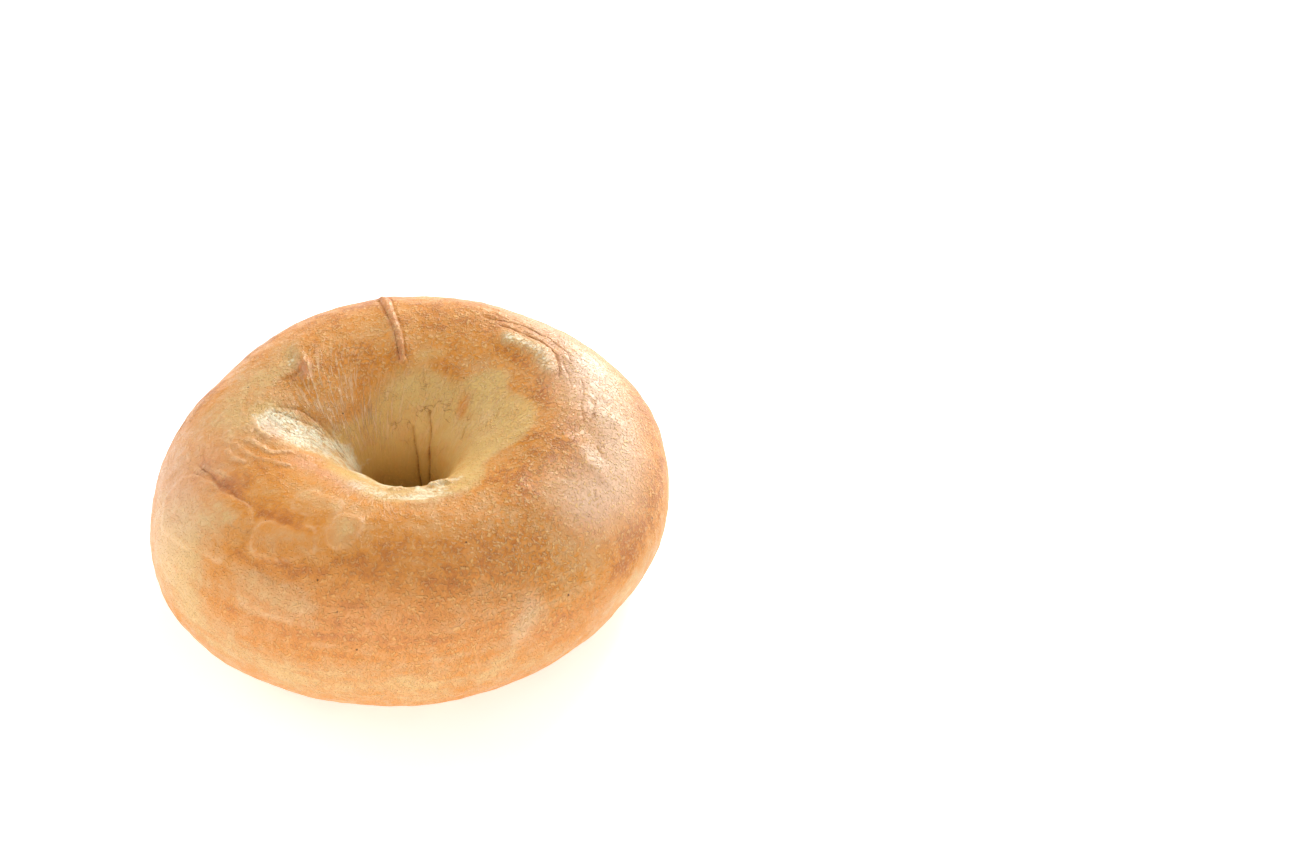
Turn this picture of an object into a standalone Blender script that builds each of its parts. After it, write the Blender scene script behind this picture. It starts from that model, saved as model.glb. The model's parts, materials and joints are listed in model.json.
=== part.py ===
"""A plain baked bagel: one uneven ring of dough with a funnel-shaped hole and a flat underside.

Lengths are in metres, +Z is up, and the ring lies on z = 0 with the middle of its box over the
origin. A place on the crust is given by two angles in degrees. The azimuth runs anticlockwise
round the hole, seen from above, from +X. The turn runs round the dough itself: 0 on the
outermost belt, 90 on the crest, 180 on the waist of the hole and 270 underneath.
"""

import math
from collections import namedtuple

import bpy
from mathutils import Vector
from mathutils.kdtree import KDTree

BAGEL_WIDTH = 0.102
BAGEL_DEPTH = 0.1015
BAGEL_HEIGHT = 0.0398

HOLE_WAIST_RADIUS = 0.0070
CREST_SHARE = 0.50
BELT_SHARE = 0.45
UNDERSIDE_SAG = 0.0035
FOOT_ROUNDING = 0.0024
INNER_FOOT_FULLNESS = 0.6

RING_STEPS = 96
DOUGH_STEPS = 50
# how far, in degrees, the steps round the dough are drawn from its underside towards its crest
STEP_SHIFT = 18
RING_RADIUS = 0.028
DOUGH_RADIUS = 0.014
FOLD_STEP = 0.001

# count of swells round the ring, their share of the radius or height, the azimuth of the first
Wave = namedtuple("Wave", "count share azimuth")
# azimuth of the middle, spread in degrees, share
Swell = namedtuple("Swell", "azimuth spread share")
# places it passes through, half width of its bell, height above the crust (below if negative)
Fold = namedtuple("Fold", "route width height")

OUTLINE_WAVES = (Wave(1, 0.064, 69), Wave(2, 0.017, 35), Wave(3, 0.023, 100), Wave(4, 0.018, 11))
HEIGHT_WAVES = (Wave(2, 0.012, 50), Wave(3, 0.010, 20))
HOLE_WAVES = (Wave(1, 0.15, 60), Wave(2, 0.10, 150), Wave(3, 0.06, 30))
HOLE_SWELLS = (Swell(216, 18, -0.22),)
OUTLINE_SWELLS = (Swell(22, 12, 0.030), Swell(157, 9, 0.026), Swell(75, 15, 0.036))
HEIGHT_SWELLS = (Swell(97, 44, 0.068),)
CREST_SWELLS = (Swell(42, 24, 0.14),)

FOLDS = {
    # the ridge where the two ends of the rolled dough were joined, over the crest at the back
    "join ridge": Fold(((92, 35), (91, 52), (88, 94), (85, 116)), 0.0010, 0.0006),
    # the tuck beside it, a notch in the crest whose right lip stands up
    "tuck": Fold(((129, 86), (135, 98), (144, 98)), 0.0018, -0.0010),
    "tuck lip": Fold(((123, 80), (127, 93), (132, 103)), 0.0013, 0.0008),
    # the inner wall pressed flat on the left, with the crease above it
    "left press": Fold(((164, 112), (167, 126), (170, 142)), 0.0045, -0.0010),
    "left crease": Fold(((162, 94), (156, 110), (153, 126), (149, 154)), 0.0010, -0.0004),
    # the shoulder that overhangs the wide side of the funnel
    "shoulder crease": Fold(((62, 90), (48, 88), (36, 85), (24, 89), (13, 91)), 0.0012, -0.0003),
    "shoulder lip": Fold(((48, 95), (36, 92), (23, 95)), 0.0018, 0.0004),
    # two upright creases down into the hole
    "hole crease left": Fold(((75, 146), (68, 162), (59, 186)), 0.0008, -0.0007),
    "hole crease right": Fold(((60, 138), (51, 160), (41, 184)), 0.0008, -0.0007),
    # shallow blisters and hollows of the front
    "front blister": Fold(((249, 75),), 0.0030, 0.0006),
    "left furrow": Fold(((185, 60), (199, 70), (219, 71)), 0.0026, -0.0006),
    "right hollow": Fold(((342, 64), (348, 68)), 0.0030, -0.0005),
}

CRUST_COLOUR = (0.66, 0.36, 0.13, 1.0)
CRUST_ROUGHNESS = 0.5


def waves(azimuth, waves_round_ring):
    """The sum of the waves at an azimuth, as a share."""
    return sum(w.share * math.cos(math.radians(w.count * (azimuth - w.azimuth))) for w in waves_round_ring)


def swells(azimuth, swells_round_ring):
    """The sum of the single swells at an azimuth, as a share."""
    total = 0.0
    for swell in swells_round_ring:
        apart = (azimuth - swell.azimuth + 180) % 360 - 180
        total += swell.share * math.exp(-0.5 * (apart / swell.spread) ** 2)
    return total


def foot_height(height):
    """A height of the round underside, pressed flat where the dough rests on the tray."""
    if height < -FOOT_ROUNDING:
        return 0.0
    if height < FOOT_ROUNDING:
        return (height + FOOT_ROUNDING) ** 2 / (4 * FOOT_ROUNDING)
    return height


def crust_point(azimuth, turn):
    """The point of the smooth crust at a place, before its folds."""
    outer = BAGEL_WIDTH / 2 * (1 + waves(azimuth, OUTLINE_WAVES) + swells(azimuth, OUTLINE_SWELLS))
    waist = HOLE_WAIST_RADIUS * (1 + waves(azimuth, HOLE_WAVES) + swells(azimuth, HOLE_SWELLS))
    crest = waist + (outer - waist) * (CREST_SHARE + swells(azimuth, CREST_SWELLS))
    top = BAGEL_HEIGHT * (1 + waves(azimuth, HEIGHT_WAVES) + swells(azimuth, HEIGHT_SWELLS))
    belt = BAGEL_HEIGHT * BELT_SHARE
    across, up = math.cos(math.radians(turn)), math.sin(math.radians(turn))
    if across < 0 and up < 0:
        across = -((-across) ** INNER_FOOT_FULLNESS)
    radius = crest + (outer - crest if across > 0 else crest - waist) * across
    height = belt + (top - belt if up > 0 else belt + UNDERSIDE_SAG) * up
    around = math.radians(azimuth)
    return Vector((radius * math.cos(around), radius * math.sin(around), foot_height(height)))


def route_points(route):
    """Points about a millimetre apart along a fold, on the smooth crust."""
    points = [crust_point(*route[0])]
    for start, end in zip(route, route[1:]):
        length = (crust_point(*end) - crust_point(*start)).length
        steps = max(1, round(length / FOLD_STEP))
        for step in range(1, steps + 1):
            share = step / steps
            points.append(crust_point(*(a + (b - a) * share for a, b in zip(start, end))))
    return points


def shape_dough(mesh):
    """Moves each vertex of the torus to its place on the smooth crust."""
    for vertex in mesh.vertices:
        x, y, z = vertex.co
        azimuth = math.degrees(math.atan2(y, x))
        step = math.atan2(z, math.hypot(x, y) - RING_RADIUS)
        vertex.co = crust_point(azimuth, math.degrees(step) + STEP_SHIFT * math.cos(step))


def press_fold(mesh, fold):
    """Raises or presses the crust along a fold, less and less with the distance from its line."""
    points = route_points(fold.route)
    tree = KDTree(len(points))
    for index, point in enumerate(points):
        tree.insert(point, index)
    tree.balance()
    normals = [vertex.normal.copy() for vertex in mesh.vertices]
    for vertex, normal in zip(mesh.vertices, normals):
        distance = tree.find(vertex.co)[2]
        vertex.co += normal * fold.height * math.exp(-0.5 * (distance / fold.width) ** 2)


def fit_to_size(mesh):
    """Brings the box of the mesh to the bagel's exact size, with the middle of its foot at the origin."""
    size = (BAGEL_WIDTH, BAGEL_DEPTH, BAGEL_HEIGHT)
    for axis in range(3):
        low = min(vertex.co[axis] for vertex in mesh.vertices)
        high = max(vertex.co[axis] for vertex in mesh.vertices)
        base = low if axis == 2 else (low + high) / 2
        for vertex in mesh.vertices:
            vertex.co[axis] = (vertex.co[axis] - base) * size[axis] / (high - low)


def crust_material():
    """Golden brown crust with a slight gloss."""
    material = bpy.data.materials.new("crust")
    material.use_nodes = True
    shader = material.node_tree.nodes["Principled BSDF"]
    shader.inputs["Base Color"].default_value = CRUST_COLOUR
    shader.inputs["Roughness"].default_value = CRUST_ROUGHNESS
    shader.inputs["Metallic"].default_value = 0.0
    return material


def build_bagel():
    """The bagel, shaped from a torus."""
    bpy.ops.mesh.primitive_torus_add(
        major_segments=RING_STEPS,
        minor_segments=DOUGH_STEPS,
        major_radius=RING_RADIUS,
        minor_radius=DOUGH_RADIUS,
    )
    bagel = bpy.context.active_object
    bagel.name = "bagel"
    shape_dough(bagel.data)
    for fold in FOLDS.values():
        bagel.data.update()
        press_fold(bagel.data, fold)
    fit_to_size(bagel.data)
    bagel.data.materials.append(crust_material())
    bagel.data.shade_smooth()
    return bagel


def main():
    for old in list(bpy.data.objects):
        bpy.data.objects.remove(old)
    collection = bpy.data.collections.new("bagel")
    bpy.context.scene.collection.children.link(collection)
    bagel = build_bagel()
    for holder in list(bagel.users_collection):
        holder.objects.unlink(bagel)
    collection.objects.link(bagel)


main()
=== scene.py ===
"""Baked Bagel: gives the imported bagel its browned, creased and pebbled crust, and sets its stage.

Lengths are in metres and +Z is up. A place on the crust is given by two angles in degrees. The
azimuth runs anticlockwise round the hole, seen from above, from +X. The turn runs round the dough
itself: 0 on the outermost belt, 90 on the crest, 180 on the waist of the hole, 270 underneath.
"""

import json
import math
from collections import namedtuple

import bpy
import numpy as np
from bpy.props import FloatProperty, FloatVectorProperty, PointerProperty
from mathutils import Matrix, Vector, noise
from mathutils.kdtree import KDTree


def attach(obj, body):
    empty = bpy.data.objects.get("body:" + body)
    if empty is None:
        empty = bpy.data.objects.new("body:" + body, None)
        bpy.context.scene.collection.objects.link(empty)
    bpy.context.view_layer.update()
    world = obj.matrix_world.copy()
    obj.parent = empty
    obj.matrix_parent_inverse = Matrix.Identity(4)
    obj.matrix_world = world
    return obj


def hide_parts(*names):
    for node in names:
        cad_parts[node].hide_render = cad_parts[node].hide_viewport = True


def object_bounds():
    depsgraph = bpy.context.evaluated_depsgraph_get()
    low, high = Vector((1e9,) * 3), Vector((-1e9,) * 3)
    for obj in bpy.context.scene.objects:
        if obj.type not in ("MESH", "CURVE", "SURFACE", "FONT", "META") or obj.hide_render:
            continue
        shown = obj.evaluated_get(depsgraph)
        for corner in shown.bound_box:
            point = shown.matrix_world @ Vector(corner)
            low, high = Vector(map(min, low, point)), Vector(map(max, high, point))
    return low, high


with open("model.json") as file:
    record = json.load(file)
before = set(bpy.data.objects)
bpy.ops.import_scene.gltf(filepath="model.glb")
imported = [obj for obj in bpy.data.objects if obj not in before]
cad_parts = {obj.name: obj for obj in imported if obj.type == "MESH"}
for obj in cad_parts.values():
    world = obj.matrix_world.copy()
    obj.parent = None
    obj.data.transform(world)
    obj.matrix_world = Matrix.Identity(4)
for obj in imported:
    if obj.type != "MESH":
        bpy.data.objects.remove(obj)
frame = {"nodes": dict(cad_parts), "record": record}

bl_info = {
    "name": "Baked Bagel",
    "version": (1, 0, 0),
    "blender": (4, 5, 0),
    "location": "3D View > Sidebar > Bagel",
    "description": "Makes the crust of a plain bagel over its packed solid, and a stage for it",
    "category": "Add Mesh",
}

CAD_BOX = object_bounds()
HOLE_BOX = frame["record"]["physics"]["openings"][0]["box_m"]
HOLE_AXIS = np.array([(low + high) / 2 for low, high in zip(*HOLE_BOX)][:2])
# the outermost belt lies at this share of the height
BELT_SHARE = 0.45
BELT_HEIGHT = BELT_SHARE * CAD_BOX[1].z

# The middle of the dough is found in sectors of this many degrees. The vertices near a place are
# found on an even ring, and the nearest few give its point.
SECTOR = 5
EVEN_RING_RADIUS = 0.028
EVEN_DOUGH_RADIUS = 0.014
NEAREST = 4
NEAR_SOFTNESS = 1e-4
ROUTE_STEP = 0.0006
SMALLEST_WEIGHT = 0.004

# The mesh is cut finer this close to a crease, a squiggle or a fold narrower than the last of
# these, and where the named wrinkles have this share or more.
REFINED_WIDTH = 0.0016
REFINED_SHARE = 0.5
FINE_FOLD = 0.00065

# Painted shade: a crease is drawn darker the deeper it is, and this dark at this depth.
CREASE_SHADE = 0.85
SHADED_DEPTH = 0.0009

# Ridges and other low relief: sharpness, drift of the pattern, heights, widths and sizes.
RIDGE_SHARPNESS = 5.5
RIDGE_DRIFT = Vector((13.7, 5.1, 2.9))
TALLEST_RIDGE = 0.0004
SQUIGGLE_WIDTH = 0.00030
BLISTER_RIM = 0.0009
RAGGED_SIZE = 0.0035
RAGGEDNESS = 0.0009
UNEVENNESS = 0.0006
UNEVEN_SIZE = 0.011
LUMPS = 0.00028
LUMP_SIZE = 0.0024
# the unevenness grows from none at the foot to all of it at this height
FOOT_CLEARANCE = 0.004

# Baked bands, stretched along the ring: how fast they change round the hole and over the dough.
BAND_RING = 2.2
BAND_DOUGH = 12.0
# Fibres down the funnel: how fine they are, the degrees of turn that one spans, and their slant,
# which is greatest at this azimuth.
FIBRE_RING = 38.0
FIBRE_LENGTH = 11.0
FIBRE_SLANT = 0.60
FIBRE_LEAN = 140

# Scales of the patterns of the crust, in cells to the metre.
BLOTCHES = 110.0
MOTTLING = 420.0
PEBBLES = 1350.0
GRAINS = 1700.0
SPECKS = 330.0
CRACKS = 240.0

# places it passes through, half width of its bell, height above the crust (below if negative)
Fold = namedtuple("Fold", "route width height")
# places it passes through, width to either side, depth of its sharp bottom
Crease = namedtuple("Crease", "route width depth")
# places its middle passes through, half width of its flat top, height of that
Blister = namedtuple("Blister", "route width height")
# places it passes through, half width of its bell, how much it adds to the named look
Patch = namedtuple("Patch", "route width amount")
# middle place, half widths in degrees of azimuth and turn, ridges per degree of each, height
Wrinkles = namedtuple("Wrinkles", "place spread ridges height")
# where it stands, where it points, its width and height, its power in watts
Light = namedtuple("Light", "place aim size power")

FOLDS = {
    "join flap": Fold(((94, 59), (93, 82), (91, 99), (90, 118)), 0.0004, 0.0005),
    "tuck lip": Fold(((130, 83), (133, 92), (136, 99), (141, 104)), 0.0006, 0.0007),
    "left facet rim": Fold(((180, 101), (189, 109), (196, 117), (192, 131), (184, 145)), 0.0012, 0.0004),
    "shoulder lip": Fold(((47, 84), (39, 83), (30, 80), (21, 84)), 0.0013, 0.0006),
    "highlit bump": Fold(((345, 77), (341, 68), (339, 61), (337, 54)), 0.0013, 0.0004),
    "upper swelling": Fold(((24, 64), (17, 61)), 0.0022, 0.0004),
    "middle swelling": Fold(((358, 62), (357, 57)), 0.0016, 0.0004),
    "torn crumb": Fold(((283, 121), (288, 122), (292, 119)), 0.0005, 0.0009),
    "second crumb": Fold(((273, 121),), 0.0004, 0.0005),
    "lip crumb": Fold(((262, 121), (258, 118)), 0.0005, 0.0005),
    "lip roll": Fold(((268, 98), (280, 100), (293, 103)), 0.0008, 0.0004),
    "low blister": Fold(((283, 55), (284, 48)), 0.0013, 0.0004),
    "right swelling": Fold(((319, 21), (308, 15)), 0.0030, 0.0004),
}
CREASES = {
    "join edge": Crease(((95, 64), (94, 82), (92, 98), (91, 116)), 0.0007, 0.0005),
    "join shadow": Crease(((92, 60), (91, 82), (89, 99), (88, 114)), 0.0005, 0.0003),
    "tuck pinch": Crease(((136, 96), (141, 95), (146, 92)), 0.0009, 0.0004),
    "facet top": Crease(((161, 101), (157, 113), (158, 124), (160, 136), (167, 150)), 0.0007, 0.0003),
    "facet branch": Crease(((164, 100), (164, 112), (163, 123), (164, 134), (171, 147)), 0.0006, 0.0003),
    "shoulder crease": Crease(((52, 76), (44, 75), (35, 74), (29, 74), (24, 77), (18, 81)), 0.0006, 0.0005),
    "outer shoulder crease": Crease(((60, 75), (47, 69), (37, 68), (28, 68), (22, 71)), 0.0004, 0.0003),
    "hole crease left": Crease(((83, 152), (81, 161), (77, 167), (76, 174), (71, 183)), 0.0006, 0.0006),
    "hole crease right": Crease(((67, 144), (61, 152), (60, 160), (55, 170), (53, 182)), 0.0006, 0.0007),
    "right nick": Crease(((23, 141), (18, 146)), 0.0005, 0.0004),
    "upper nick": Crease(((38, 124), (35, 128)), 0.0004, 0.0003),
    "far nick": Crease(((14, 120), (9, 124)), 0.0004, 0.0003),
    "left crease": Crease(
        ((186, 57), (192, 63), (197, 64), (203, 67), (208, 66), (212, 68)), 0.0010, 0.00025
    ),
    "left notch": Crease(((200, 59), (202, 62)), 0.0004, 0.0003),
    "high crack": Crease(((23, 75), (18, 76), (11, 78)), 0.0004, 0.0003),
    "middle crack": Crease(((14, 71), (8, 72), (2, 75), (354, 73)), 0.0004, 0.0003),
    "outer crack": Crease(((4, 67), (359, 68), (355, 69)), 0.0004, 0.0003),
    "bump shade": Crease(((345, 61), (342, 57)), 0.0009, 0.00025),
    "low crack": Crease(((330, 51), (328, 47)), 0.0004, 0.0003),
}
# thin raised lines, by the places they pass through
SQUIGGLES = {
    "first": ((168, 71), (172, 74), (177, 77), (180, 77)),
    "second": ((176, 61), (181, 65)),
    "third": ((186, 76), (190, 78), (194, 82)),
    "fourth": ((184, 81), (188, 84), (194, 89), (198, 95), (203, 101)),
    "fifth": ((182, 88), (187, 93), (193, 99), (193, 108)),
    "over the crease": ((188, 61), (194, 68), (200, 72), (203, 75)),
    "by the rim": ((171, 89), (177, 93), (183, 100)),
    "outer": ((179, 52), (187, 56), (191, 60)),
}
BLISTERS = {
    "left": Blister(((228, 88), (236, 88)), 0.0027, 0.00022),
    "front": Blister(((246, 72), (247, 78)), 0.0026, 0.00032),
    "low left": Blister(((225, 58), (232, 60), (235, 63)), 0.0031, 0.00025),
    "left flank": Blister(((195, 41), (204, 46), (212, 50)), 0.0058, 0.00040),
    "left edge": Blister(((198, 21), (207, 29)), 0.0040, 0.00018),
    "low front": Blister(((228, 31), (238, 31)), 0.0030, 0.00025),
}
WRINKLES = {
    "left lines": Wrinkles((177, 82), (16, 15), (0.10, 0.17), 0.00030),
    "shoulder lines": Wrinkles((45, 70), (28, 9), (0.035, 0.33), 0.00022),
    "right lines": Wrinkles((348, 64), (30, 18), (0.16, 0.20), 0.00012),
}
REFINED_WRINKLES = ("left lines", "shoulder lines")

# Looks of the crust, each a number at every point: where it starts, and the patches that change it.
# Toast runs from 0, hardly baked, to 1, dark brown, and a few of its patches are painted light and shade.
TOAST = 0.70
TOAST_PATCHES = {
    "right rim": Patch(((8, 33), (354, 18), (340, 15), (325, 18)), 0.0046, 0.24),
    "left upper": Patch(((145, 84), (161, 79), (171, 79)), 0.0046, -0.30),
    "tuck valley": Patch(((132, 80), (134, 87), (139, 90)), 0.0018, -0.34),
    "tuck shade": Patch(((138, 97), (143, 95)), 0.0011, 0.30),
    "left edge": Patch(((179, 35), (191, 29)), 0.0080, -0.18),
    "left blister": Patch(((228, 88), (236, 88)), 0.0024, -0.20),
    "front blister": Patch(((246, 72), (247, 78)), 0.0024, -0.22),
    "low left blister": Patch(((225, 58), (232, 60), (235, 63)), 0.0028, -0.12),
    "left flank blister": Patch(((195, 41), (204, 46), (212, 50)), 0.0052, -0.18),
    "left low blister": Patch(((197, 19), (207, 27)), 0.0040, -0.14),
    "low front blister": Patch(((228, 31), (238, 31)), 0.0030, -0.18),
    # These two paler patches are pale skin, and also painted light that stands for light bounced up from
    # the table onto the foot.
    "left foot": Patch(((207, 14), (213, 4), (227, -6), (241, -16)), 0.0050, -0.34),
    "front foot": Patch(((256, -17), (280, -15), (299, -16), (329, -11)), 0.0046, -0.24),
    "low blister": Patch(((283, 55), (284, 48)), 0.0012, -0.14),
    "pale tail": Patch(((296, 20), (292, 6), (287, -8), (284, -13)), 0.0018, -0.28),
    "right low patch": Patch(((317, 24), (312, 14), (306, 17)), 0.0028, -0.16),
    "right foot": Patch(((334, -4), (325, -11)), 0.0026, -0.18),
    # Painted sheen and painted highlights: these four paler patches stand for light on the right flank, on
    # the bump and on two swellings.
    "right shine": Patch(((351, 50), (3, 61), (19, 63)), 0.0044, -0.22),
    "highlit bump": Patch(((342, 66), (339, 59)), 0.0014, -0.30),
    "upper swelling": Patch(((25, 64), (17, 61)), 0.0018, -0.24),
    "middle swelling": Patch(((358, 62), (357, 57)), 0.0014, -0.24),
    "funnel brown": Patch(((108, 111), (124, 117), (138, 119)), 0.0060, -0.02),
    "crest brown": Patch(((112, 97), (96, 97), (80, 97)), 0.0060, 0.04),
    "front brown": Patch(((250, 56), (262, 54), (284, 62)), 0.0050, 0.08),
    # Painted shade: these four darker patches stand for shade along and above the left crease and for the
    # shadows under two blisters.
    "over the crease": Patch(((190, 62), (201, 67), (214, 71), (223, 75)), 0.0028, 0.16),
    "along the crease": Patch(((188, 59), (197, 64), (208, 67), (221, 69)), 0.0011, 0.14),
    "below left blister": Patch(((227, 71), (234, 70), (240, 72)), 0.0014, 0.12),
    "below low left blister": Patch(((222, 45), (230, 45), (239, 48)), 0.0014, 0.22),
    "low left band": Patch(((222, 8), (233, 14), (250, 14), (264, 13)), 0.0026, 0.12),
    "low right band": Patch(((296, -3), (311, -5), (326, 2)), 0.0030, 0.18),
    "right brown": Patch(((321, 90), (339, 88), (349, 84)), 0.0050, 0.14),
    "wall stain": Patch(((53, 122), (43, 128), (34, 136)), 0.0014, 0.14),
    "grainy band": Patch(((40, 90), (29, 90), (17, 91), (7, 99)), 0.0018, 0.20),
    "far side": Patch(((40, 30), (90, 30), (140, 30)), 0.0120, 0.16),
    "far crest": Patch(((115, 64), (98, 62)), 0.0040, 0.10),
    "far foot": Patch(((20, 0), (70, -4), (120, -4), (165, 0)), 0.0110, 0.16),
}
# Bare is 1 where the skin stayed pale: on the walls of the funnel and its lip.
BARE_PATCHES = {
    "back wall": Patch(((86, 136), (82, 144), (78, 153)), 0.0036, 0.95),
    "right wall": Patch(((24, 120), (8, 112), (354, 109), (345, 115)), 0.0036, 0.75),
    "wide wall": Patch(((74, 152), (42, 148), (16, 132), (354, 122), (340, 128)), 0.0060, 1.0),
    "upper wall": Patch(((70, 130), (53, 133), (19, 117)), 0.0030, 0.55),
    "high patch": Patch(((78, 112), (70, 110)), 0.0014, 0.60),
    "high right patch": Patch(((44, 117), (36, 107), (30, 103)), 0.0026, 0.55),
    # pale skin along the shoulder lip, with a painted highlight on it
    "shoulder band": Patch(((45, 83), (39, 82), (33, 81), (23, 85)), 0.0016, 0.95),
    "left facet": Patch(((170, 102), (174, 111), (176, 122), (177, 135), (178, 149)), 0.0042, 1.2),
    "left strands": Patch(((130, 150), (148, 147)), 0.0036, 0.7),
    "lip": Patch(((222, 125), (241, 118), (256, 112), (274, 107), (289, 110), (306, 114)), 0.0029, 1.2),
    "lip edge": Patch(((205, 142), (222, 136), (246, 130), (266, 126)), 0.0026, 0.9),
    "hole": Patch(((0, 180), (120, 178), (240, 176), (359, 180)), 0.0060, 0.9),
    "near wall": Patch(((205, 158), (240, 152), (280, 148), (320, 146)), 0.0048, 0.9),
    "right crest": Patch(
        ((12, 74), (2, 77), (352, 85), (345, 91), (338, 99), (328, 106), (316, 99)), 0.0028, -0.90
    ),
    "wall stain": Patch(((41, 125), (38, 135)), 0.0014, -1.0),
    "right stain": Patch(((23, 108), (17, 114)), 0.0014, -0.95),
    "shoulder stain": Patch(((26, 98), (14, 102)), 0.0020, -0.50),
    "upper stain": Patch(((64, 118), (54, 114)), 0.0022, -0.35),
}
# Cream is 1 where the skin is nearly white and faintly grooved.
CREAM_PATCHES = {
    "left facet": Patch(((171, 106), (175, 114), (176, 126), (178, 140), (179, 152)), 0.0037, 1.2),
    # pale skin along the shoulder lip, with a painted highlight on it
    "shoulder band": Patch(((45, 83), (39, 82), (33, 81), (23, 85)), 0.0016, 1.2),
    "lip": Patch(((238, 113), (256, 108), (270, 105), (283, 106)), 0.0022, 0.85),
    "lip edge": Patch(
        ((205, 142), (222, 136), (246, 130), (262, 124), (280, 120), (294, 122)), 0.0020, 0.6
    ),
    "pale tail": Patch(((294, 14), (292, 6)), 0.0012, 0.25),
    "tuck valley": Patch(((135, 86), (137, 90)), 0.0012, 0.3),
}
# Blush reddens the skin.
BLUSH_PATCHES = {
    "front": Patch(((235, 35), (260, 38), (285, 35)), 0.0090, 0.18),
    "low front": Patch(((225, 12), (255, 15), (290, 10)), 0.0080, 0.20),
    "tuck": Patch(((136, 96), (139, 100)), 0.0009, 0.8),
    "facet end": Patch(((174, 99), (181, 105)), 0.0014, 0.6),
    "left edge": Patch(((179, 35), (191, 46), (189, 61)), 0.0060, 0.42),
    "join flap": Patch(((94, 59), (93, 82), (91, 99), (90, 117)), 0.0006, 0.6),
    "shoulder": Patch(((59, 62), (29, 60), (10, 71)), 0.0050, 0.25),
    "left lip": Patch(((202, 109), (212, 114), (224, 114), (237, 110)), 0.0016, 0.6),
    "low right band": Patch(((300, -2), (315, -5)), 0.0034, 0.2),
}
# Peach and sheen makes the skin a dull pale peach: pale skin on the pale tail, painted sheen on the right
# and high flanks, a painted reflection on the left edge and a painted highlight on the bump.
PEACH_AND_SHEEN_PATCHES = {
    "pale tail": Patch(((296, 20), (292, 6)), 0.0016, 0.20),
    "right flank": Patch(((326, 50), (337, 44), (350, 50), (2, 60), (18, 66)), 0.0050, 0.75),
    "high flank": Patch(((17, 61), (32, 63), (49, 63)), 0.0030, 0.35),
    "left edge": Patch(((178, 34), (187, 33), (197, 27)), 0.0070, 0.25),
    "highlit bump": Patch(((342, 66), (339, 59)), 0.0012, 0.40),
}
# Painted shade: 1 deep in the hole, where it is narrow and shade falls on its skin.
HOLE_SHADE_PATCHES = {
    "hole": Patch(((0, 188), (120, 188), (240, 188), (359, 188)), 0.0052, 0.95),
}
# Fibres are the fine pale threads of stretched skin, and cracked skin has thin dark lines.
FIBRE_PATCHES = {
    "funnel": Patch(((128, 110), (137, 112), (146, 118), (147, 132), (135, 136)), 0.0042, 1.0),
    "lip": Patch(((228, 104), (244, 98), (260, 95)), 0.0022, 0.4),
    "facet": Patch(((171, 108), (177, 124), (176, 144)), 0.0030, 0.15),
    "wall": Patch(((96, 142), (60, 142), (24, 132), (352, 120)), 0.0060, 0.30),
}
CRACKED_PATCHES = {
    "right": Patch(((12, 74), (350, 67), (334, 56), (322, 48)), 0.0060, 0.80),
    "left": Patch(((187, 58), (205, 59), (220, 52)), 0.0060, 0.40),
    "facet": Patch(((161, 116), (164, 132)), 0.0040, 0.50),
    "walls": Patch(((90, 142), (49, 139), (19, 127), (355, 115)), 0.0050, 0.70),
    "lip": Patch(((224, 113), (256, 104), (284, 103)), 0.0030, 0.50),
}
# Pebble is how rough and grainy the skin is, and bands are how strongly its baked bands show.
PEBBLE = 0.42
PEBBLE_PATCHES = {
    "right": Patch(((305, 60), (321, 78), (339, 77)), 0.0100, 0.65),
    "right rim": Patch(((349, 21), (18, 37)), 0.0080, 0.30),
    "crest": Patch(((30, 92), (60, 92), (110, 94), (141, 94)), 0.0080, 0.45),
    "left": Patch(((192, 38), (220, 52)), 0.0100, -0.12),
    "below left blister": Patch(((224, 69), (234, 69), (242, 71)), 0.0026, -0.20),
    "hole": Patch(((0, 165), (120, 165), (240, 165), (359, 165)), 0.0080, -0.45),
}
BANDS = 0.20
BAND_PATCHES = {
    "foot": Patch(((215, 1), (240, 7), (270, 7), (300, 7)), 0.0080, 0.60),
    "left flank": Patch(((197, 52), (224, 49)), 0.0080, 0.30),
    "hole": Patch(((0, 165), (120, 165), (240, 165), (359, 165)), 0.0090, -0.20),
}

DAYLIGHT = (1.0, 0.99, 0.97)
LIGHTS = {
    "window": Light((0.45, 0.75, 0.55), (0, 0, 0.02), (0.35, 0.35), 8.5),
    "low_window": Light((0.66, 0.86, 0.16), (0, 0, 0.02), (0.90, 0.30), 8.0),
    "left_window": Light((-0.80, 0.45, 0.40), (0, 0, 0.02), (0.60, 0.60), 3.0),
    "front_fill": Light((-0.25, -0.9, 0.16), (0, 0, 0.0), (0.60, 0.60), 4.0),
}


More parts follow.
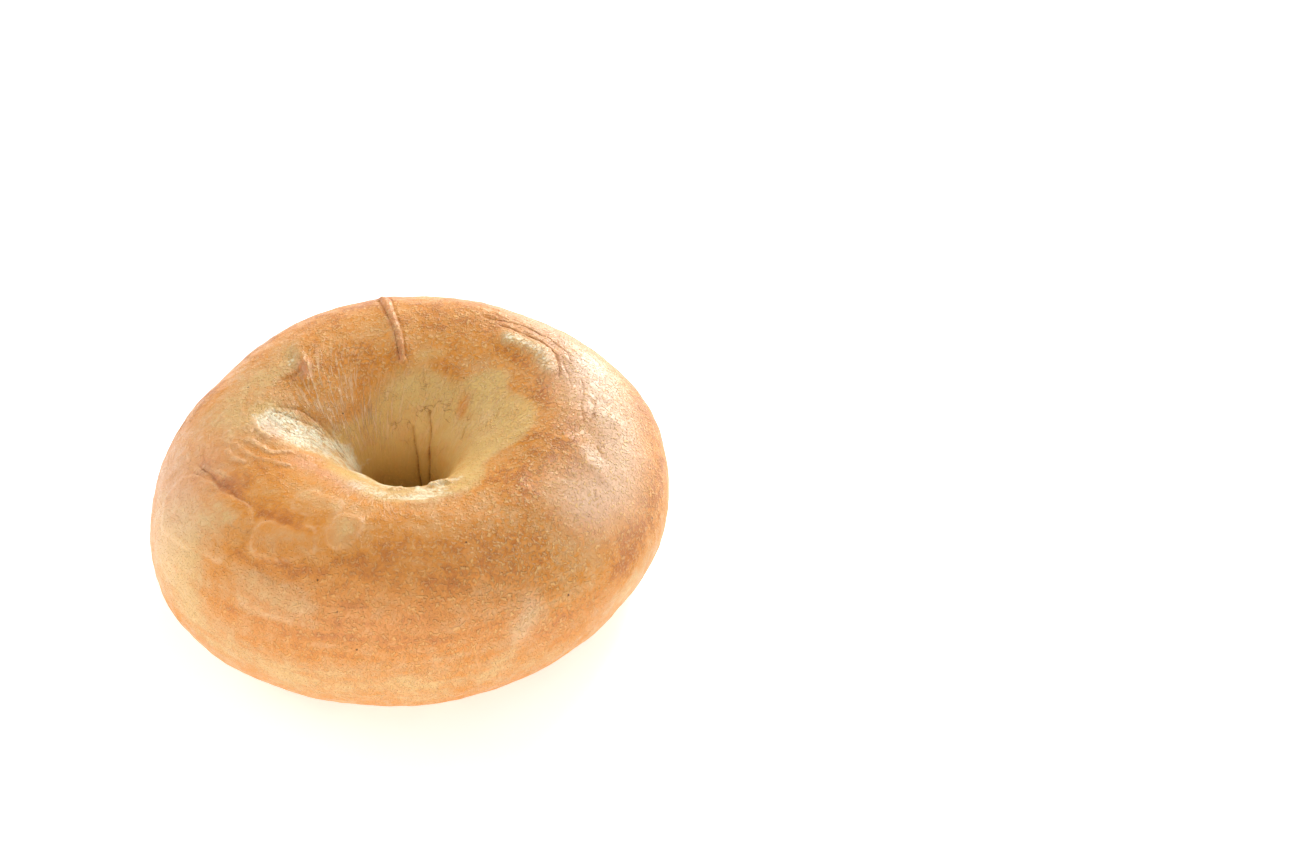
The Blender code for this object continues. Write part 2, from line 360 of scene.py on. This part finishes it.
class StageSettings(bpy.types.PropertyGroup):
    """Camera, lights and floor."""

    aim: FloatVectorProperty(
        name="Aim", description="Place on the floor that the camera looks at",
        default=(0.0518, 0.0346, 0.0), subtype="XYZ", unit="LENGTH",
    )
    distance: FloatProperty(
        name="Distance", description="From the camera to its aim", default=0.533, unit="LENGTH"
    )
    azimuth: FloatProperty(
        name="Azimuth", description="Turn of the camera to the right, away from +Y",
        default=math.radians(7.4), unit="ROTATION",
    )
    elevation: FloatProperty(
        name="Elevation", description="Slope of the view down to the floor",
        default=math.radians(38.7), unit="ROTATION",
    )
    lens: FloatProperty(
        name="Lens", description="Focal length in millimetres on a 36 mm sensor", default=68.36
    )
    floor_width: FloatProperty(
        name="Floor", description="Width of the square floor", default=8.0, unit="LENGTH"
    )
    floor_colour: FloatVectorProperty(
        name="Floor colour", description="Pale table top", default=(0.96, 0.96, 0.96), subtype="COLOR"
    )
    floor_glow: FloatProperty(
        name="Floor glow", description="Light that the floor gives off itself", default=0.52
    )
    sky_strength: FloatProperty(
        name="Walls", description="Brightness of the surroundings at table height", default=0.85
    )
    ceiling_strength: FloatProperty(
        name="Ceiling", description="Brightness of the surroundings overhead", default=0.38
    )


class CrustSettings(bpy.types.PropertyGroup):
    """Colours and surface of the crust."""

    cream: FloatVectorProperty(
        name="Cream", description="Skin that was hardly baked", default=(1.0, 0.93, 0.67), subtype="COLOR"
    )
    straw: FloatVectorProperty(
        name="Straw", description="Pale yellow skin", default=(0.79, 0.50, 0.20), subtype="COLOR"
    )
    golden: FloatVectorProperty(
        name="Golden", description="Evenly baked skin", default=(0.77, 0.385, 0.130), subtype="COLOR"
    )
    brown: FloatVectorProperty(
        name="Brown", description="Well browned skin", default=(0.775, 0.30, 0.040), subtype="COLOR"
    )
    dark: FloatVectorProperty(
        name="Dark", description="Darkest brown skin", default=(0.54, 0.165, 0.020), subtype="COLOR"
    )
    blush: FloatVectorProperty(
        name="Blush", description="Reddish skin", default=(0.74, 0.34, 0.20), subtype="COLOR"
    )
    ridge: FloatVectorProperty(
        name="Ridge", description="Thin raised lines of skin", default=(0.94, 0.61, 0.34), subtype="COLOR"
    )
    # pale grains of the skin, with a painted highlight on each
    glint: FloatVectorProperty(
        name="Glint", description="Fine light grains", default=(1.0, 0.62, 0.24), subtype="COLOR"
    )
    # pale peach skin, and the colour of the painted sheen, reflection and highlight
    peach_and_sheen: FloatVectorProperty(
        name="Bloom", description="Pale peach skin", default=(1.0, 0.68, 0.48), subtype="COLOR"
    )
    wall: FloatVectorProperty(
        name="Wall", description="Bare skin of the funnel", default=(0.82, 0.56, 0.17), subtype="COLOR"
    )
    # painted shade on the skin deep in the hole
    shaded: FloatVectorProperty(
        name="Deep", description="Dull skin deep in the hole", default=(0.40, 0.26, 0.035), subtype="COLOR"
    )
    # the tint of the painted shade in creases, and of the dark lines of cracks and grooves
    crease: FloatVectorProperty(
        name="Crease", description="Tint of creases and cracks", default=(0.50, 0.27, 0.11), subtype="COLOR"
    )
    speck: FloatVectorProperty(
        name="Speck", description="Tiny dark specks", default=(0.10, 0.035, 0.01), subtype="COLOR"
    )
    pebble_depth: FloatProperty(
        name="Pebble", description="Height of the fine pebbles of the skin", default=0.00034, unit="LENGTH"
    )


def select_only(piece):
    """Leaves this piece alone selected and active."""
    bpy.ops.object.select_all(action="DESELECT")
    piece.select_set(True)
    bpy.context.view_layer.objects.active = piece


def copy_of_node(node_name, piece_name):
    """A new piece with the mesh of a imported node, its loose triangles merged into one skin."""
    piece = bpy.data.objects.new(piece_name, frame["nodes"][node_name].data.copy())
    bpy.context.scene.collection.objects.link(piece)
    piece.data.materials.clear()
    select_only(piece)
    bpy.ops.mesh.customdata_custom_splitnormals_clear()
    bpy.ops.object.mode_set(mode="EDIT")
    bpy.ops.mesh.select_all(action="SELECT")
    bpy.ops.mesh.remove_doubles(threshold=1e-6)
    bpy.ops.mesh.tris_convert_to_quads()
    bpy.ops.object.mode_set(mode="OBJECT")
    return piece


def subdivide(piece, levels):
    """Rounds the piece by subdivision and applies it."""
    select_only(piece)
    bpy.ops.object.modifier_add(type="SUBSURF")
    modifier = piece.modifiers[-1]
    modifier.levels = levels
    modifier.render_levels = levels
    bpy.ops.object.modifier_apply(modifier=modifier.name)


def skin_points(piece):
    """The place of every vertex of the piece, one a row."""
    flat = np.empty(3 * len(piece.data.vertices), np.float32)
    piece.data.vertices.foreach_get("co", flat)
    return flat.reshape(-1, 3).astype(float)


def places(points):
    """The azimuth and the turn of each point, in degrees."""
    across = points[:, :2] - HOLE_AXIS
    radius = np.hypot(across[:, 0], across[:, 1])
    azimuth = np.degrees(np.arctan2(across[:, 1], across[:, 0])) % 360
    sectors = np.arange(0, 360, SECTOR)
    middles = []
    for sector in sectors:
        inside = np.abs((azimuth - sector + 180) % 360 - 180) < SECTOR
        middles.append((radius[inside].min() + radius[inside].max()) / 2)
    core = np.interp(azimuth, sectors, middles, period=360)
    turn = np.degrees(np.arctan2(points[:, 2] - BELT_HEIGHT, radius - core)) % 360
    return azimuth, turn


def even_ring(azimuth, turn):
    """The points at these places on an even ring, where near places are near in space."""
    around, over = np.radians(azimuth), np.radians(turn)
    radius = EVEN_RING_RADIUS + EVEN_DOUGH_RADIUS * np.cos(over)
    height = EVEN_DOUGH_RADIUS * np.sin(over)
    return np.stack((radius * np.cos(around), radius * np.sin(around), height), -1)


class Skin:
    """The points of a piece and their places, to measure distances along its crust."""

    def __init__(self, piece):
        self.points = skin_points(piece)
        self.azimuth, self.turn = places(self.points)
        self.tree = KDTree(len(self.points))
        for index, point in enumerate(even_ring(self.azimuth, self.turn)):
            self.tree.insert(point, index)
        self.tree.balance()

    def spot(self, azimuth, turn):
        """The point of the crust at a place, averaged from the nearest vertices."""
        near = self.tree.find_n(even_ring(azimuth, turn), NEAREST)
        weights = np.array([1 / (distance + NEAR_SOFTNESS) for _, _, distance in near])
        return weights @ self.points[[index for _, index, _ in near]] / weights.sum()

    def route(self, stops):
        """Points close together on the crust along a route through the given places."""
        points = [self.spot(*stops[0])]
        for start, end in zip(stops, stops[1:]):
            turn_by = (end[0] - start[0] + 180) % 360 - 180
            length = np.linalg.norm(self.spot(*end) - self.spot(*start))
            steps = max(1, round(length / ROUTE_STEP))
            for step in range(1, steps + 1):
                share = step / steps
                points.append(self.spot(start[0] + turn_by * share, start[1] + (end[1] - start[1]) * share))
        return np.array(points)

    def distance(self, stops):
        """How far every vertex is from a route."""
        nearest = np.full(len(self.points), np.inf)
        for point in self.route(stops):
            nearest = np.minimum(nearest, np.linalg.norm(self.points - point, axis=1))
        return nearest

    def bell(self, stops, width):
        """1 on the route, less and less with the distance from it."""
        return np.exp(-0.5 * (self.distance(stops) / width) ** 2)

    def wedge(self, stops, width):
        """1 on the route, down to 0 at a width to either side, with a sharp top."""
        return np.clip(1 - self.distance(stops) / width, 0, 1) ** 1.5

    def plateau(self, stops, width):
        """1 within a width of the route, with a ragged rim where it falls to 0."""
        ragged = RAGGEDNESS * (2 * self.cloud(RAGGED_SIZE) - 1)
        share = np.clip((width - self.distance(stops) + ragged) / BLISTER_RIM + 0.5, 0, 1)
        return share * share * (3 - 2 * share)

    def look(self, start, patches):
        """A named look at every vertex, from its start and its patches."""
        value = np.full(len(self.points), float(start))
        for patch in patches.values():
            value += patch.amount * self.bell(patch.route, patch.width)
        return value

    def zone(self, wrinkles):
        """How far every vertex is from the middle of these wrinkles in degrees, and their share there."""
        apart = (self.azimuth - wrinkles.place[0] + 180) % 360 - 180
        above = (self.turn - wrinkles.place[1] + 180) % 360 - 180
        share = np.exp(-0.5 * ((apart / wrinkles.spread[0]) ** 2 + (above / wrinkles.spread[1]) ** 2))
        return apart, above, share

    def ridges(self, wrinkles):
        """The height of fine wrinkles at every vertex, from 0 in a valley to 1 on a ridge."""
        apart, above, inside = self.zone(wrinkles)
        height = np.zeros(len(self.points))
        # a slow drift bends the ridges, a finer ripple roughens them and a third noise breaks them
        for index in np.flatnonzero(inside > 0.05):
            along = Vector((apart[index] * wrinkles.ridges[0], above[index] * wrinkles.ridges[1], 0.0))
            drift = noise.noise(along * 0.6 + RIDGE_DRIFT)
            ripple = noise.noise(along + Vector((drift, drift, 0.0))) + 0.4 * noise.noise(along * 2.3)
            broken = min(1.0, max(0.0, 0.8 + 1.6 * noise.noise(along * 0.9 - RIDGE_DRIFT)))
            height[index] = broken * max(0.0, 1 - RIDGE_SHARPNESS * abs(ripple)) ** 1.3
        return height * inside

    def cloud(self, size):
        """Smooth swellings of about this size all over, from 0 to 1."""
        return np.array([0.5 + 0.5 * noise.noise(Vector(point) / size) for point in self.points])


def displace(piece, name, weights, height):
    """Raises the piece along its normals by a height times the weights."""
    group = piece.vertex_groups.new(name=name)
    for index in np.flatnonzero(weights > SMALLEST_WEIGHT):
        group.add([int(index)], float(min(1.0, weights[index])), "REPLACE")
    bpy.ops.object.modifier_add(type="DISPLACE")
    modifier = piece.modifiers[-1]
    modifier.mid_level = 0.0
    modifier.strength = height
    modifier.vertex_group = group.name
    bpy.ops.object.modifier_apply(modifier=modifier.name)
    piece.vertex_groups.clear()


def refine(piece):
    """Cuts the faces along the creases and squiggles and in the most wrinkled zones finer."""
    skin = Skin(piece)
    near = np.zeros(len(skin.points), bool)
    fine_folds = [fold for fold in FOLDS.values() if fold.width < FINE_FOLD]
    routes = [line.route for line in list(CREASES.values()) + fine_folds] + list(SQUIGGLES.values())
    for route in routes:
        near |= skin.distance(route) < REFINED_WIDTH
    for name in REFINED_WRINKLES:
        near |= skin.zone(WRINKLES[name])[2] > REFINED_SHARE
    select_only(piece)
    bpy.ops.object.mode_set(mode="EDIT")
    bpy.ops.mesh.select_all(action="DESELECT")
    bpy.ops.object.mode_set(mode="OBJECT")
    for face in piece.data.polygons:
        face.select = all(near[list(face.vertices)])
    bpy.ops.object.mode_set(mode="EDIT")
    bpy.ops.mesh.subdivide(number_cuts=1, smoothness=0)
    bpy.ops.object.mode_set(mode="OBJECT")


def store(piece, name, values):
    """Keeps a number for every vertex, which the material reads by name."""
    attribute = piece.data.attributes.new(name, "FLOAT", "POINT")
    attribute.data.foreach_set("value", np.ascontiguousarray(values, np.float32))


def store_vectors(piece, name, vectors):
    """Keeps a vector for every vertex, which the material reads by name."""
    attribute = piece.data.attributes.new(name, "FLOAT_VECTOR", "POINT")
    attribute.data.foreach_set("vector", np.ascontiguousarray(vectors, np.float32).ravel())


class Nodes:
    """Adds the nodes of one material."""

    def __init__(self, name):
        self.material = bpy.data.materials.new(name)
        self.material.use_nodes = True
        self.tree = self.material.node_tree
        self.shader = self.tree.nodes["Principled BSDF"]

    def set(self, socket, value):
        """Links a socket to the input, or gives it a plain value."""
        if isinstance(value, bpy.types.NodeSocket):
            self.tree.links.new(value, socket)
        else:
            socket.default_value = value

    def add(self, kind, inputs, **settings):
        """A new node with these settings and inputs."""
        node = self.tree.nodes.new(kind)
        for name, value in settings.items():
            setattr(node, name, value)
        for key, value in inputs.items():
            self.set(node.inputs[key], value)
        return node

    def maths(self, operation, *values):
        """The result of one sum, product or other operation."""
        node = self.add("ShaderNodeMath", dict(enumerate(values)), operation=operation)
        return node.outputs[0]

    def plus(self, first, *others):
        """The sum of all the values."""
        for other in others:
            first = self.maths("ADD", first, other)
        return first

    def minus(self, first, second):
        """The first value less the second."""
        return self.maths("SUBTRACT", first, second)

    def times(self, first, second):
        """The product of both values."""
        return self.maths("MULTIPLY", first, second)

    def attribute(self, name, output="Fac"):
        """What the piece stores under this name."""
        return self.add("ShaderNodeAttribute", {}, attribute_name=name).outputs[output]

    def noise(self, place, scale, detail=2.0, distortion=0.0, **more):
        """A cloudy pattern, mostly between 0.3 and 0.7 unless it isn't normalized."""
        inputs = {"Vector": place, "Scale": scale, "Detail": detail, "Distortion": distortion}
        return self.add("ShaderNodeTexNoise", inputs, **more).outputs["Fac"]

    def mix(self, share, first, second, blend="MIX"):
        """The first colour with a share of the second over it."""
        # the colours are its inputs 6 and 7, and their mix is its output 2
        node = self.add("ShaderNodeMix", {}, data_type="RGBA", blend_type=blend)
        self.set(node.inputs[0], share)
        self.set(node.inputs[6], first)
        self.set(node.inputs[7], second)
        return node.outputs[2]

    def between(self, value, low, high, to_low=0.0, to_high=1.0):
        """Maps low to to_low and high to to_high, with soft ends."""
        inputs = {0: value, 1: low, 2: high, 3: to_low, 4: to_high}
        return self.add("ShaderNodeMapRange", inputs, interpolation_type="SMOOTHSTEP").outputs[0]


def colour(values):
    """The colour at full opacity."""
    return (*values, 1.0)


class CrustNodes(Nodes):
    """The nodes of baked skin: the patterns that it shares, its tone, its colour and its relief."""

    def __init__(self, settings):
        super().__init__("baked_crust")
        self.settings = settings
        self.place = self.add("ShaderNodeTexCoord", {}).outputs["Object"]
        self.pebble = self.attribute("pebble")
        self.blotches = self.noise(self.place, BLOTCHES, 4.0)
        self.mottle = self.noise(self.place, MOTTLING, 3.0)
        self.pebbles = self.noise(self.place, PEBBLES, 2.0)
        self.grains = self.noise(self.place, GRAINS, 1.0)
        self.threads = self.noise(self.attribute("fibre_place", "Vector"), 1.0, 2.0, 0.8)
        # The net and the glints are pale grains of the skin, each with a painted highlight.
        off_middle = self.maths("ABSOLUTE", self.minus(self.pebbles, 0.5))
        self.net = self.between(off_middle, 0.0, 0.032, 1.0, 0.0)
        self.glints = self.between(self.grains, 0.53, 0.66)
        self.strands = self.times(self.between(self.threads, 0.51, 0.59), self.attribute("fibres"))
        ragged = self.plus(
            self.attribute("bare"),
            self.between(self.mottle, 0.3, 0.7, -0.16, 0.16),
            self.between(self.blotches, 0.3, 0.7, -0.25, 0.25),
        )
        self.bare = self.between(ragged, 0.22, 1.06)
        self.creamy = self.plus(self.attribute("cream"), self.between(self.mottle, 0.3, 0.7, -0.3, 0.3))
        # painted shade in the creases, with the dark lines of cracks and grooves
        self.broken = self.cracks()

    def cracks(self):
        """How dark the painted shade in the creases is, with the dark lines of fine cracks and of the
        grooves of cream skin.
        """
        veins = self.noise(self.place, CRACKS, 3.0, normalize=False)
        vein = self.between(self.maths("ABSOLUTE", veins), 0.0, 0.030, 1.0, 0.0)
        vein = self.times(vein, self.between(self.blotches, 0.42, 0.54))
        shade = self.plus(self.attribute("shade"), self.times(vein, self.attribute("cracked")))
        shade = self.times(shade, self.between(self.mottle, 0.35, 0.6, 0.35, 1.0))
        grooves = self.times(self.between(self.threads, 0.36, 0.49, 1.0, 0.0), self.attribute("cream"))
        return self.plus(shade, self.times(grooves, 0.28))

    def browning(self):
        """How browned the skin is, from 0, cream, to 1, dark brown."""
        band_place = self.attribute("band_place", "Vector")
        streaks = self.add(
            "ShaderNodeTexNoise",
            {"Vector": band_place, "W": self.attribute("band_over"), "Scale": 1.0, "Detail": 4.0},
            noise_dimensions="4D",
        ).outputs["Fac"]
        browned = self.plus(
            self.attribute("toast"),
            self.between(self.blotches, 0.3, 0.7, -0.12, 0.12),
            self.between(self.mottle, 0.35, 0.65, -0.09, 0.09),
            self.times(self.between(self.pebbles, 0.35, 0.65, -0.08, 0.14), self.pebble),
            self.between(self.grains, 0.35, 0.65, -0.04, 0.04),
            self.times(self.between(streaks, 0.3, 0.7, -0.19, 0.16), self.attribute("bands")),
        )
        browned = self.minus(browned, self.times(self.bare, 0.37))
        browned = self.maths("MAXIMUM", browned, 0.27)
        return self.minus(browned, self.between(self.creamy, 0.1, 0.9, 0.0, 0.30))

    def baked_tone(self):
        """The colour that the browning gives, from cream over golden to dark brown."""
        settings = self.settings
        ramp = self.add("ShaderNodeValToRGB", {0: self.browning()})
        stops = (settings.cream, settings.straw, settings.golden, settings.brown, settings.dark)
        elements = ramp.color_ramp.elements
        while len(elements) < len(stops):
            elements.new(0.5)
        for index, (element, tone) in enumerate(zip(elements, stops)):
            element.position = index / (len(stops) - 1)
            element.color = colour(tone)
        return ramp.outputs["Color"]

    def specks(self):
        """1 on tiny dark specks, one in a few of the cells."""
        cells = self.add("ShaderNodeTexVoronoi", {"Vector": self.place, "Scale": SPECKS})
        reach = self.plus(cells.outputs["Distance"], self.between(self.grains, 0.3, 0.7, -0.05, 0.05))
        dots = self.between(reach, 0.03, 0.06, 1.0, 0.0)
        cell_tone = self.add("ShaderNodeSeparateColor", {0: cells.outputs["Color"]}).outputs[0]
        return self.times(dots, self.between(cell_tone, 0.86, 0.88))

    def skin(self):
        """The colour of the skin, with all that lies over its baked tone, painted sheen, highlights and
        shade included.
        """
        settings = self.settings
        walled = self.minus(self.times(self.bare, 0.5), self.between(self.creamy, 0.1, 0.6, 0.0, 0.5))
        coats = (
            (walled, settings.wall),
            # painted shade deep in the hole
            (self.attribute("shaded"), settings.shaded),
            (self.times(self.attribute("blush"), 0.8), settings.blush),
            # pale peach skin and painted sheen
            (self.attribute("peach_and_sheen"), settings.peach_and_sheen),
            # pale raised lines of squiggles and wrinkles, and the painted highlight on the rims of blisters
            (self.times(self.attribute("lines"), 0.6), settings.ridge),
            (self.times(self.strands, 0.85), settings.ridge),
            # pale grains of the skin with painted highlights on them
            (self.times(self.net, self.between(self.pebble, 0.2, 1.0, 0.03, 0.20)), settings.glint),
            (self.times(self.glints, self.between(self.pebble, 0.0, 0.9, 0.10, 0.60)), settings.glint),
            (self.specks(), settings.speck),
        )
        skin = self.baked_tone()
        for share, tone in coats:
            skin = self.mix(share, skin, colour(tone))
        # the painted shade of the creases, and the cracks and grooves, darken the skin
        return self.mix(self.broken, skin, colour(settings.crease), blend="MULTIPLY")

    def relief(self):
        """The normals of the fine pebbles, strands and cracks."""
        raised = self.plus(self.times(self.net, 0.4), self.glints)
        fine = self.plus(
            self.times(raised, self.pebble),
            self.times(self.mottle, 0.7),
            self.times(self.strands, 0.5),
        )
        fine = self.minus(fine, self.times(self.broken, 0.5))
        inputs = {"Height": fine, "Distance": self.settings.pebble_depth, "Strength": 1.0}
        return self.add("ShaderNodeBump", inputs).outputs["Normal"]


def crust_material(settings):
    """Baked skin: five tones from cream to dark brown, bands, blush, specks, pebbles, painted sheen, glints
    and shade, and a soft gloss.
    """
    nodes = CrustNodes(settings)
    shader = nodes.shader
    nodes.set(shader.inputs["Base Color"], nodes.skin())
    nodes.set(shader.inputs["Roughness"], nodes.between(nodes.mottle, 0.3, 0.7, 0.32, 0.46))
    nodes.set(shader.inputs["Normal"], nodes.relief())
    shader.inputs["Specular IOR Level"].default_value = 0.25
    shader.inputs["Subsurface Weight"].default_value = 0.08
    shader.inputs["Subsurface Radius"].default_value = (1.0, 0.5, 0.2)
    shader.inputs["Subsurface Scale"].default_value = 0.0015
    return nodes.material


def table_material(tone, glow):
    """Even matt paint for the table top, which glows a little as if lit from below."""
    nodes = Nodes("table_top")
    nodes.shader.inputs["Base Color"].default_value = colour(tone)
    nodes.shader.inputs["Emission Color"].default_value = colour(tone)
    nodes.shader.inputs["Emission Strength"].default_value = glow
    nodes.shader.inputs["Roughness"].default_value = 0.8
    return nodes.material


def pale_room(wall_strength, ceiling_strength):
    """Surroundings that are brightest at the height of the table."""
    world = bpy.data.worlds.new("pale_room")
    world.use_nodes = True
    tree = world.node_tree
    direction = tree.nodes.new("ShaderNodeTexCoord")
    height = tree.nodes.new("ShaderNodeSeparateXYZ")
    strength = tree.nodes.new("ShaderNodeMapRange")
    tree.links.new(direction.outputs["Generated"], height.inputs[0])
    tree.links.new(height.outputs["Z"], strength.inputs["Value"])
    strength.inputs["From Max"].default_value = 0.8
    strength.inputs["To Min"].default_value = wall_strength
    strength.inputs["To Max"].default_value = ceiling_strength
    tree.links.new(strength.outputs["Result"], tree.nodes["Background"].inputs["Strength"])
    tree.nodes["Background"].inputs["Color"].default_value = (1.0, 1.0, 1.0, 1.0)
    return world


def area_light(name, light):
    """Adds a soft light that faces its aim."""
    bpy.ops.object.light_add(type="AREA", location=light.place)
    lamp = bpy.context.active_object
    lamp.name = name
    lamp.data.shape = "RECTANGLE"
    lamp.data.size, lamp.data.size_y = light.size
    lamp.data.energy = light.power
    lamp.data.color = DAYLIGHT
    lamp.rotation_euler = (Vector(light.aim) - Vector(light.place)).to_track_quat("-Z", "Y").to_euler()


def shape_crust(crust):
    """Raises the folds and wrinkles of the crust and presses in its creases."""
    select_only(crust)
    skin = Skin(crust)
    for name, fold in FOLDS.items():
        displace(crust, name, skin.bell(fold.route, fold.width), fold.height)
    for name, crease in CREASES.items():
        displace(crust, name, skin.wedge(crease.route, crease.width), -crease.depth)
    lines = np.zeros(len(skin.points))
    patchy = skin.cloud(RAGGED_SIZE)
    for name, route in SQUIGGLES.items():
        # each line fades where the cloud is low
        line = skin.bell(route, SQUIGGLE_WIDTH) * np.clip(2 * patchy - 0.3, 0, 1)
        displace(crust, name, line, TALLEST_RIDGE)
        lines = np.maximum(lines, line)
    for name, wrinkles in WRINKLES.items():
        heights = skin.ridges(wrinkles)
        displace(crust, name, heights, wrinkles.height)
        lines = np.maximum(lines, heights * wrinkles.height / TALLEST_RIDGE)
    for name, blister in BLISTERS.items():
        top = skin.plateau(blister.route, blister.width)
        displace(crust, name, top, blister.height)
        # its rim shows as a pale line, a painted highlight, with gaps where the cloud is low
        lines = np.maximum(lines, 3 * top * (1 - top) * np.clip(3 * patchy - 0.9, 0, 1))
    # pale raised lines, and the painted highlight on the rims of blisters
    store(crust, "lines", lines)
    lift = np.clip(skin.points[:, 2] / FOOT_CLEARANCE, 0, 1)
    displace(crust, "unevenness", lift * skin.cloud(UNEVEN_SIZE), UNEVENNESS)
    displace(crust, "lumps", lift * skin.cloud(LUMP_SIZE), LUMPS)


def colour_crust(crust):
    """Stores the looks that the material of the crust reads."""
    skin = Skin(crust)
    store(crust, "toast", skin.look(TOAST, TOAST_PATCHES))
    store(crust, "blush", skin.look(0.0, BLUSH_PATCHES))
    store(crust, "pebble", np.clip(skin.look(PEBBLE, PEBBLE_PATCHES), 0.05, 1.0))
    store(crust, "bands", np.clip(skin.look(BANDS, BAND_PATCHES), 0.0, 1.0))
    store(crust, "bare", skin.look(0.0, BARE_PATCHES))
    store(crust, "cream", skin.look(0.0, CREAM_PATCHES))
    # pale peach skin and painted sheen
    store(crust, "peach_and_sheen", skin.look(0.0, PEACH_AND_SHEEN_PATCHES))
    store(crust, "cracked", skin.look(0.05, CRACKED_PATCHES))
    # painted shade deep in the hole
    store(crust, "shaded", skin.look(0.0, HOLE_SHADE_PATCHES))
    store(crust, "fibres", np.clip(skin.look(0.0, FIBRE_PATCHES), 0.0, 1.0))
    # painted shade in each crease, darker the deeper it is
    shade = np.zeros(len(skin.points))
    for crease in CREASES.values():
        strength = CREASE_SHADE * crease.depth / SHADED_DEPTH
        shade = np.maximum(shade, strength * skin.wedge(crease.route, crease.width))
    store(crust, "shade", shade)
    around, over = np.radians(skin.azimuth), np.radians(skin.turn)
    ring = (BAND_RING * np.cos(around), BAND_RING * np.sin(around), BAND_DOUGH * np.cos(over))
    store_vectors(crust, "band_place", np.stack(ring, -1))
    store(crust, "band_over", BAND_DOUGH * np.sin(over))
    slant = FIBRE_SLANT * np.cos(np.radians(skin.azimuth - FIBRE_LEAN))
    aside = np.radians(skin.azimuth - slant * (skin.turn - 90))
    threads = (FIBRE_RING * np.cos(aside), FIBRE_RING * np.sin(aside), skin.turn / FIBRE_LENGTH)
    store_vectors(crust, "fibre_place", np.stack(threads, -1))


class BAGEL_OT_crust(bpy.types.Operator):
    """Make the crust of the bagel over its solid"""

    bl_idname = "bagel.crust"
    bl_label = "Crust"

    def execute(self, context):
        crust = copy_of_node("bagel", "crust")
        subdivide(crust, 1)
        refine(crust)
        subdivide(crust, 1)
        bpy.ops.object.shade_smooth()
        shape_crust(crust)
        colour_crust(crust)
        crust.data.materials.append(crust_material(context.scene.bagel_crust))
        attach(crust, "root")
        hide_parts("bagel")
        return {"FINISHED"}


class BAGEL_OT_stage(bpy.types.Operator):
    """Make the floor, the lights and the camera"""

    bl_idname = "bagel.stage"
    bl_label = "Stage"

    def execute(self, context):
        stage = context.scene.bagel_stage
        bpy.ops.mesh.primitive_plane_add(size=stage.floor_width)
        floor = context.active_object
        floor.name = "floor"
        floor.data.materials.append(table_material(stage.floor_colour, stage.floor_glow))

        for name, light in LIGHTS.items():
            area_light(name, light)
        context.scene.world = pale_room(stage.sky_strength, stage.ceiling_strength)
        context.scene.view_settings.view_transform = "Standard"

        data = bpy.data.cameras.new("camera")
        data.lens = stage.lens
        camera = bpy.data.objects.new("camera", data)
        context.scene.collection.objects.link(camera)
        ahead = Vector((
            math.sin(stage.azimuth) * math.cos(stage.elevation),
            math.cos(stage.azimuth) * math.cos(stage.elevation),
            -math.sin(stage.elevation),
        ))
        camera.location = Vector(stage.aim) - ahead * stage.distance
        camera.rotation_euler = ahead.to_track_quat("-Z", "Y").to_euler()
        context.scene.camera = camera
        return {"FINISHED"}


class BAGEL_PT_sidebar(bpy.types.Panel):
    """Lists the makers of the bagel"""

    bl_label = "Baked Bagel"
    bl_space_type = "VIEW_3D"
    bl_region_type = "UI"
    bl_category = "Bagel"

    def draw(self, context):
        for operator in (BAGEL_OT_crust, BAGEL_OT_stage):
            self.layout.operator(operator.bl_idname)


CLASSES = (StageSettings, CrustSettings, BAGEL_OT_crust, BAGEL_OT_stage, BAGEL_PT_sidebar)


def register():
    for cls in CLASSES:
        bpy.utils.register_class(cls)
    bpy.types.Scene.bagel_stage = PointerProperty(type=StageSettings)
    bpy.types.Scene.bagel_crust = PointerProperty(type=CrustSettings)


def unregister():
    del bpy.types.Scene.bagel_crust
    del bpy.types.Scene.bagel_stage
    for cls in reversed(CLASSES):
        bpy.utils.unregister_class(cls)


def main():
    register()
    bpy.ops.bagel.stage()
    bpy.ops.bagel.crust()


if __name__ == "__main__":
    main()
